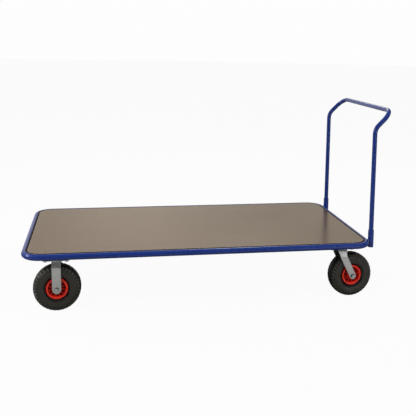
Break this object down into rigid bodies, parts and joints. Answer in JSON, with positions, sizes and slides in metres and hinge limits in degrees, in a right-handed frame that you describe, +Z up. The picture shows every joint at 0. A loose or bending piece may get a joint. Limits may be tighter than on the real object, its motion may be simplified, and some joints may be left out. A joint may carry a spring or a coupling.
{
  "type": "platform trolley",
  "caption": "Long platform trolley: round-tube frame with a board deck, lift-out push handle at one end, fixed and swivel pneumatic castors.",
  "frame": {"origin": "on the floor, at the centre of the whole object's footprint box", "axes": "+X along the platform towards the push handle, +Y across the platform, +Z up"},
  "size_m": [2.1342, 1, 1.1078],
  "materials": {
    "blue_coat": "gloss blue powder coat",
    "deck_panel": "brown film-faced board, semi-gloss",
    "zinc_steel": "satin zinc plate",
    "tyre_rubber": "black rubber",
    "red_rim": "red moulded plastic",
    "bush_nylon": "plain nylon"
  },
  "bodies": {
    "frame": {"frame_ring_tube": "blue_coat", "cross_channel_fixed_end": "blue_coat", "cross_channel_swivel_end": "blue_coat", "deck_bearer_middle": "blue_coat", "deck_board": "deck_panel", "handle_socket_front": "blue_coat", "handle_socket_rear": "blue_coat", "fixed_front_top_plate": "zinc_steel", "fixed_front_plate_bolt_1": "zinc_steel", "fixed_front_plate_bolt_2": "zinc_steel", "fixed_front_plate_bolt_3": "zinc_steel", "fixed_front_plate_bolt_4": "zinc_steel", "fixed_front_fork": "zinc_steel", "fixed_front_axle_bolt": "zinc_steel", "fixed_front_axle_nut": "zinc_steel", "fixed_front_axle_sleeve": "zinc_steel", "fixed_rear_top_plate": "zinc_steel", "fixed_rear_plate_bolt_1": "zinc_steel", "fixed_rear_plate_bolt_2": "zinc_steel", "fixed_rear_plate_bolt_3": "zinc_steel", "fixed_rear_plate_bolt_4": "zinc_steel", "fixed_rear_fork": "zinc_steel", "fixed_rear_axle_bolt": "zinc_steel", "fixed_rear_axle_nut": "zinc_steel", "fixed_rear_axle_sleeve": "zinc_steel", "swivel_front_top_plate": "zinc_steel", "swivel_front_plate_bolt_1": "zinc_steel", "swivel_front_plate_bolt_2": "zinc_steel", "swivel_front_plate_bolt_3": "zinc_steel", "swivel_front_plate_bolt_4": "zinc_steel", "swivel_front_ball_race": "zinc_steel", "swivel_front_kingpin": "zinc_steel", "swivel_rear_top_plate": "zinc_steel", "swivel_rear_plate_bolt_1": "zinc_steel", "swivel_rear_plate_bolt_2": "zinc_steel", "swivel_rear_plate_bolt_3": "zinc_steel", "swivel_rear_plate_bolt_4": "zinc_steel", "swivel_rear_ball_race": "zinc_steel", "swivel_rear_kingpin": "zinc_steel"},
    "push_handle": {"push_handle_tube": "blue_coat"},
    "fixed_front_wheel": {"fixed_front_tyre": "tyre_rubber", "fixed_front_rim": "red_rim", "fixed_front_hub_bush": "bush_nylon"},
    "fixed_rear_wheel": {"fixed_rear_tyre": "tyre_rubber", "fixed_rear_rim": "red_rim", "fixed_rear_hub_bush": "bush_nylon"},
    "swivel_front_fork_body": {"swivel_front_fork": "zinc_steel", "swivel_front_axle_bolt": "zinc_steel", "swivel_front_axle_nut": "zinc_steel", "swivel_front_axle_sleeve": "zinc_steel"},
    "swivel_front_wheel": {"swivel_front_tyre": "tyre_rubber", "swivel_front_rim": "red_rim", "swivel_front_hub_bush": "bush_nylon"},
    "swivel_rear_fork_body": {"swivel_rear_fork": "zinc_steel", "swivel_rear_axle_bolt": "zinc_steel", "swivel_rear_axle_nut": "zinc_steel", "swivel_rear_axle_sleeve": "zinc_steel"},
    "swivel_rear_wheel": {"swivel_rear_tyre": "tyre_rubber", "swivel_rear_rim": "red_rim", "swivel_rear_hub_bush": "bush_nylon"}
  },
  "joints": [
    {"name": "swivel_front_turn", "type": "hinge", "parent": "frame", "child": "swivel_front_fork_body", "pos_m": [0.75491, -0.412, 0.28675], "axis": [0, 0, 1], "continuous": true},
    {"name": "swivel_front_wheel_spin", "type": "hinge", "parent": "swivel_front_fork_body", "child": "swivel_front_wheel", "pos_m": [0.81776, -0.4076, 0.13], "axis": [-0.0698, 0.9976, 0], "continuous": true},
    {"name": "swivel_rear_turn", "type": "hinge", "parent": "frame", "child": "swivel_rear_fork_body", "pos_m": [0.75491, 0.412, 0.28675], "axis": [0, 0, 1], "continuous": true},
    {"name": "swivel_rear_wheel_spin", "type": "hinge", "parent": "swivel_rear_fork_body", "child": "swivel_rear_wheel", "pos_m": [0.81782, 0.4153, 0.13], "axis": [-0.0523, 0.9986, 0], "continuous": true},
    {"name": "fixed_front_wheel_spin", "type": "hinge", "parent": "frame", "child": "fixed_front_wheel", "pos_m": [-0.87309, -0.418, 0.13], "axis": [0, 1, 0], "continuous": true},
    {"name": "fixed_rear_wheel_spin", "type": "hinge", "parent": "frame", "child": "fixed_rear_wheel", "pos_m": [-0.87309, 0.418, 0.13], "axis": [0, 1, 0], "continuous": true},
    {"name": "push_handle_lift", "type": "slide", "parent": "frame", "child": "push_handle", "axis": [0, 0, 1], "range_m": [0, 0.085]}
  ]
}
